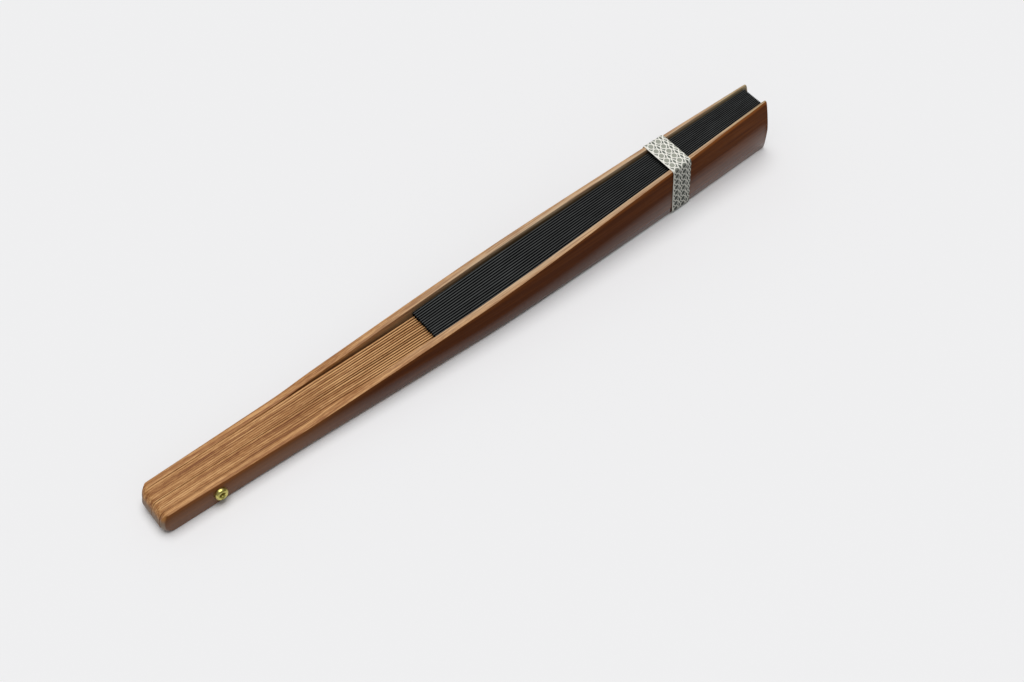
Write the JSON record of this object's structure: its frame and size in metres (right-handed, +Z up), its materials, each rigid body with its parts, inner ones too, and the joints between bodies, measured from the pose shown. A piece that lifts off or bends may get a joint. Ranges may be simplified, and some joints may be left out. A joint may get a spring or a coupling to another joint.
{
  "type": "folding fan",
  "caption": "Folding hand fan with bamboo ribs and lacquered guards turning on a brass rivet, a pleated black cloth leaf, and a patterned paper band that slides off before it opens.",
  "frame": {"origin": "middle of the underside of the closed fan's box, on the surface it lies on", "axes": "+X from the handle end to the tips, +Z up, the rivet's axis parallel to Y, the rivet's head towards -Y"},
  "size_m": [0.2268, 0.0186, 0.0219],
  "materials": {
    "lacquered_bamboo": "gloss lacquer over split bamboo",
    "bamboo": "bare smoked bamboo, fine lengthwise fibres",
    "leaf_cloth": "matt black cloth in sharp pleats",
    "brass": "bright brass, lightly tarnished",
    "band_paper": "pale paper printed with a small grey scale pattern"
  },
  "bodies": {
    "guard_back": {"guard_back": "lacquered_bamboo", "leaf_glued_panel_00": "leaf_cloth", "rivet_eyelet": "brass", "rivet_washer": "brass"},
    "guard_front": {"guard_front": "lacquered_bamboo", "leaf_glued_panel_15": "leaf_cloth"},
    "rib_01": {"rib_01": "bamboo", "leaf_glued_panel_01": "leaf_cloth"},
    "rib_02": {"rib_02": "bamboo", "leaf_glued_panel_02": "leaf_cloth"},
    "rib_03": {"rib_03": "bamboo", "leaf_glued_panel_03": "leaf_cloth"},
    "rib_04": {"rib_04": "bamboo", "leaf_glued_panel_04": "leaf_cloth"},
    "rib_05": {"rib_05": "bamboo", "leaf_glued_panel_05": "leaf_cloth"},
    "rib_06": {"rib_06": "bamboo", "leaf_glued_panel_06": "leaf_cloth"},
    "rib_07": {"rib_07": "bamboo", "leaf_glued_panel_07": "leaf_cloth"},
    "rib_08": {"rib_08": "bamboo", "leaf_glued_panel_08": "leaf_cloth"},
    "rib_09": {"rib_09": "bamboo", "leaf_glued_panel_09": "leaf_cloth"},
    "rib_10": {"rib_10": "bamboo", "leaf_glued_panel_10": "leaf_cloth"},
    "rib_11": {"rib_11": "bamboo", "leaf_glued_panel_11": "leaf_cloth"},
    "rib_12": {"rib_12": "bamboo", "leaf_glued_panel_12": "leaf_cloth"},
    "rib_13": {"rib_13": "bamboo", "leaf_glued_panel_13": "leaf_cloth"},
    "rib_14": {"rib_14": "bamboo", "leaf_glued_panel_14": "leaf_cloth"},
    "free_panel_00": {"leaf_free_panel_00": "leaf_cloth"},
    "free_panel_01": {"leaf_free_panel_01": "leaf_cloth"},
    "free_panel_02": {"leaf_free_panel_02": "leaf_cloth"},
    "free_panel_03": {"leaf_free_panel_03": "leaf_cloth"},
    "free_panel_04": {"leaf_free_panel_04": "leaf_cloth"},
    "free_panel_05": {"leaf_free_panel_05": "leaf_cloth"},
    "free_panel_06": {"leaf_free_panel_06": "leaf_cloth"},
    "free_panel_07": {"leaf_free_panel_07": "leaf_cloth"},
    "free_panel_08": {"leaf_free_panel_08": "leaf_cloth"},
    "free_panel_09": {"leaf_free_panel_09": "leaf_cloth"},
    "free_panel_10": {"leaf_free_panel_10": "leaf_cloth"},
    "free_panel_11": {"leaf_free_panel_11": "leaf_cloth"},
    "free_panel_12": {"leaf_free_panel_12": "leaf_cloth"},
    "free_panel_13": {"leaf_free_panel_13": "leaf_cloth"},
    "free_panel_14": {"leaf_free_panel_14": "leaf_cloth"},
    "paper_band": {"paper_band": "band_paper"}
  },
  "joints": [
    {"name": "fan_open", "type": "hinge", "parent": "guard_back", "child": "guard_front", "pos_m": [-0.09463, 0, 0.00395], "axis": [0, -1, 0], "range_deg": [0, 140]},
    {"name": "rib_01_turn", "type": "hinge", "parent": "guard_back", "child": "rib_01", "pos_m": [-0.09463, 0, 0.00395], "axis": [0, -1, 0], "range_deg": [0, 9.34]},
    {"name": "rib_02_turn", "type": "hinge", "parent": "guard_back", "child": "rib_02", "pos_m": [-0.09463, 0, 0.00395], "axis": [0, -1, 0], "range_deg": [0, 18.68]},
    {"name": "rib_03_turn", "type": "hinge", "parent": "guard_back", "child": "rib_03", "pos_m": [-0.09463, 0, 0.00395], "axis": [0, -1, 0], "range_deg": [0, 28.01]},
    {"name": "rib_04_turn", "type": "hinge", "parent": "guard_back", "child": "rib_04", "pos_m": [-0.09463, 0, 0.00395], "axis": [0, -1, 0], "range_deg": [0, 37.34]},
    {"name": "rib_05_turn", "type": "hinge", "parent": "guard_back", "child": "rib_05", "pos_m": [-0.09463, 0, 0.00395], "axis": [0, -1, 0], "range_deg": [0, 46.68]},
    {"name": "rib_06_turn", "type": "hinge", "parent": "guard_back", "child": "rib_06", "pos_m": [-0.09463, 0, 0.00395], "axis": [0, -1, 0], "range_deg": [0, 56.01]},
    {"name": "rib_07_turn", "type": "hinge", "parent": "guard_back", "child": "rib_07", "pos_m": [-0.09463, 0, 0.00395], "axis": [0, -1, 0], "range_deg": [0, 65.34]},
    {"name": "rib_08_turn", "type": "hinge", "parent": "guard_back", "child": "rib_08", "pos_m": [-0.09463, 0, 0.00395], "axis": [0, -1, 0], "range_deg": [0, 74.68]},
    {"name": "rib_09_turn", "type": "hinge", "parent": "guard_back", "child": "rib_09", "pos_m": [-0.09463, 0, 0.00395], "axis": [0, -1, 0], "range_deg": [0, 84.01]},
    {"name": "rib_10_turn", "type": "hinge", "parent": "guard_back", "child": "rib_10", "pos_m": [-0.09463, 0, 0.00395], "axis": [0, -1, 0], "range_deg": [0, 93.34]},
    {"name": "rib_11_turn", "type": "hinge", "parent": "guard_back", "child": "rib_11", "pos_m": [-0.09463, 0, 0.00395], "axis": [0, -1, 0], "range_deg": [0, 102.68]},
    {"name": "rib_12_turn", "type": "hinge", "parent": "guard_back", "child": "rib_12", "pos_m": [-0.09463, 0, 0.00395], "axis": [0, -1, 0], "range_deg": [0, 112.01]},
    {"name": "rib_13_turn", "type": "hinge", "parent": "guard_back", "child": "rib_13", "pos_m": [-0.09463, 0, 0.00395], "axis": [0, -1, 0], "range_deg": [0, 121.34]},
    {"name": "rib_14_turn", "type": "hinge", "parent": "guard_back", "child": "rib_14", "pos_m": [-0.09463, 0, 0.00395], "axis": [0, -1, 0], "range_deg": [0, 130.68]},
    {"name": "free_panel_00_turn", "type": "hinge", "parent": "guard_back", "child": "free_panel_00", "pos_m": [-0.09463, 0, 0.00395], "axis": [0, -1, 0], "range_deg": [0, 4.68]},
    {"name": "free_panel_01_turn", "type": "hinge", "parent": "guard_back", "child": "free_panel_01", "pos_m": [-0.09463, 0, 0.00395], "axis": [0, -1, 0], "range_deg": [0, 14.01]},
    {"name": "free_panel_02_turn", "type": "hinge", "parent": "guard_back", "child": "free_panel_02", "pos_m": [-0.09463, 0, 0.00395], "axis": [0, -1, 0], "range_deg": [0, 23.34]},
    {"name": "free_panel_03_turn", "type": "hinge", "parent": "guard_back", "child": "free_panel_03", "pos_m": [-0.09463, 0, 0.00395], "axis": [0, -1, 0], "range_deg": [0, 32.68]},
    {"name": "free_panel_04_turn", "type": "hinge", "parent": "guard_back", "child": "free_panel_04", "pos_m": [-0.09463, 0, 0.00395], "axis": [0, -1, 0], "range_deg": [0, 42.01]},
    {"name": "free_panel_05_turn", "type": "hinge", "parent": "guard_back", "child": "free_panel_05", "pos_m": [-0.09463, 0, 0.00395], "axis": [0, -1, 0], "range_deg": [0, 51.34]},
    {"name": "free_panel_06_turn", "type": "hinge", "parent": "guard_back", "child": "free_panel_06", "pos_m": [-0.09463, 0, 0.00395], "axis": [0, -1, 0], "range_deg": [0, 60.68]},
    {"name": "free_panel_07_turn", "type": "hinge", "parent": "guard_back", "child": "free_panel_07", "pos_m": [-0.09463, 0, 0.00395], "axis": [0, -1, 0], "range_deg": [0, 70.01]},
    {"name": "free_panel_08_turn", "type": "hinge", "parent": "guard_back", "child": "free_panel_08", "pos_m": [-0.09463, 0, 0.00395], "axis": [0, -1, 0], "range_deg": [0, 79.34]},
    {"name": "free_panel_09_turn", "type": "hinge", "parent": "guard_back", "child": "free_panel_09", "pos_m": [-0.09463, 0, 0.00395], "axis": [0, -1, 0], "range_deg": [0, 88.68]},
    {"name": "free_panel_10_turn", "type": "hinge", "parent": "guard_back", "child": "free_panel_10", "pos_m": [-0.09463, 0, 0.00395], "axis": [0, -1, 0], "range_deg": [0, 98.01]},
    {"name": "free_panel_11_turn", "type": "hinge", "parent": "guard_back", "child": "free_panel_11", "pos_m": [-0.09463, 0, 0.00395], "axis": [0, -1, 0], "range_deg": [0, 107.34]},
    {"name": "free_panel_12_turn", "type": "hinge", "parent": "guard_back", "child": "free_panel_12", "pos_m": [-0.09463, 0, 0.00395], "axis": [0, -1, 0], "range_deg": [0, 116.68]},
    {"name": "free_panel_13_turn", "type": "hinge", "parent": "guard_back", "child": "free_panel_13", "pos_m": [-0.09463, 0, 0.00395], "axis": [0, -1, 0], "range_deg": [0, 126.01]},
    {"name": "free_panel_14_turn", "type": "hinge", "parent": "guard_back", "child": "free_panel_14", "pos_m": [-0.09463, 0, 0.00395], "axis": [0, -1, 0], "range_deg": [0, 135.34]},
    {"name": "band_slide", "type": "slide", "parent": "guard_back", "child": "paper_band", "axis": [1, 0, 0], "range_m": [0, 0.0551], "deforming": ["paper_band"]}
  ],
  "couplings": [
    {"joint": "rib_01_turn", "follows": "fan_open", "ratio": 0.066667},
    {"joint": "rib_02_turn", "follows": "fan_open", "ratio": 0.13333},
    {"joint": "rib_03_turn", "follows": "fan_open", "ratio": 0.2},
    {"joint": "rib_04_turn", "follows": "fan_open", "ratio": 0.26667},
    {"joint": "rib_05_turn", "follows": "fan_open", "ratio": 0.33333},
    {"joint": "rib_06_turn", "follows": "fan_open", "ratio": 0.4},
    {"joint": "rib_07_turn", "follows": "fan_open", "ratio": 0.46667},
    {"joint": "rib_08_turn", "follows": "fan_open", "ratio": 0.53333},
    {"joint": "rib_09_turn", "follows": "fan_open", "ratio": 0.6},
    {"joint": "rib_10_turn", "follows": "fan_open", "ratio": 0.66667},
    {"joint": "rib_11_turn", "follows": "fan_open", "ratio": 0.73333},
    {"joint": "rib_12_turn", "follows": "fan_open", "ratio": 0.8},
    {"joint": "rib_13_turn", "follows": "fan_open", "ratio": 0.86667},
    {"joint": "rib_14_turn", "follows": "fan_open", "ratio": 0.93333},
    {"joint": "free_panel_00_turn", "follows": "fan_open", "ratio": 0.033333},
    {"joint": "free_panel_01_turn", "follows": "fan_open", "ratio": 0.1},
    {"joint": "free_panel_02_turn", "follows": "fan_open", "ratio": 0.16667},
    {"joint": "free_panel_03_turn", "follows": "fan_open", "ratio": 0.23333},
    {"joint": "free_panel_04_turn", "follows": "fan_open", "ratio": 0.3},
    {"joint": "free_panel_05_turn", "follows": "fan_open", "ratio": 0.36667},
    {"joint": "free_panel_06_turn", "follows": "fan_open", "ratio": 0.43333},
    {"joint": "free_panel_07_turn", "follows": "fan_open", "ratio": 0.5},
    {"joint": "free_panel_08_turn", "follows": "fan_open", "ratio": 0.56667},
    {"joint": "free_panel_09_turn", "follows": "fan_open", "ratio": 0.63333},
    {"joint": "free_panel_10_turn", "follows": "fan_open", "ratio": 0.7},
    {"joint": "free_panel_11_turn", "follows": "fan_open", "ratio": 0.76667},
    {"joint": "free_panel_12_turn", "follows": "fan_open", "ratio": 0.83333},
    {"joint": "free_panel_13_turn", "follows": "fan_open", "ratio": 0.9},
    {"joint": "free_panel_14_turn", "follows": "fan_open", "ratio": 0.96667},
    {"joint": "band_slide", "follows": "fan_open", "m_per_rad": 0.022509}
  ]
}
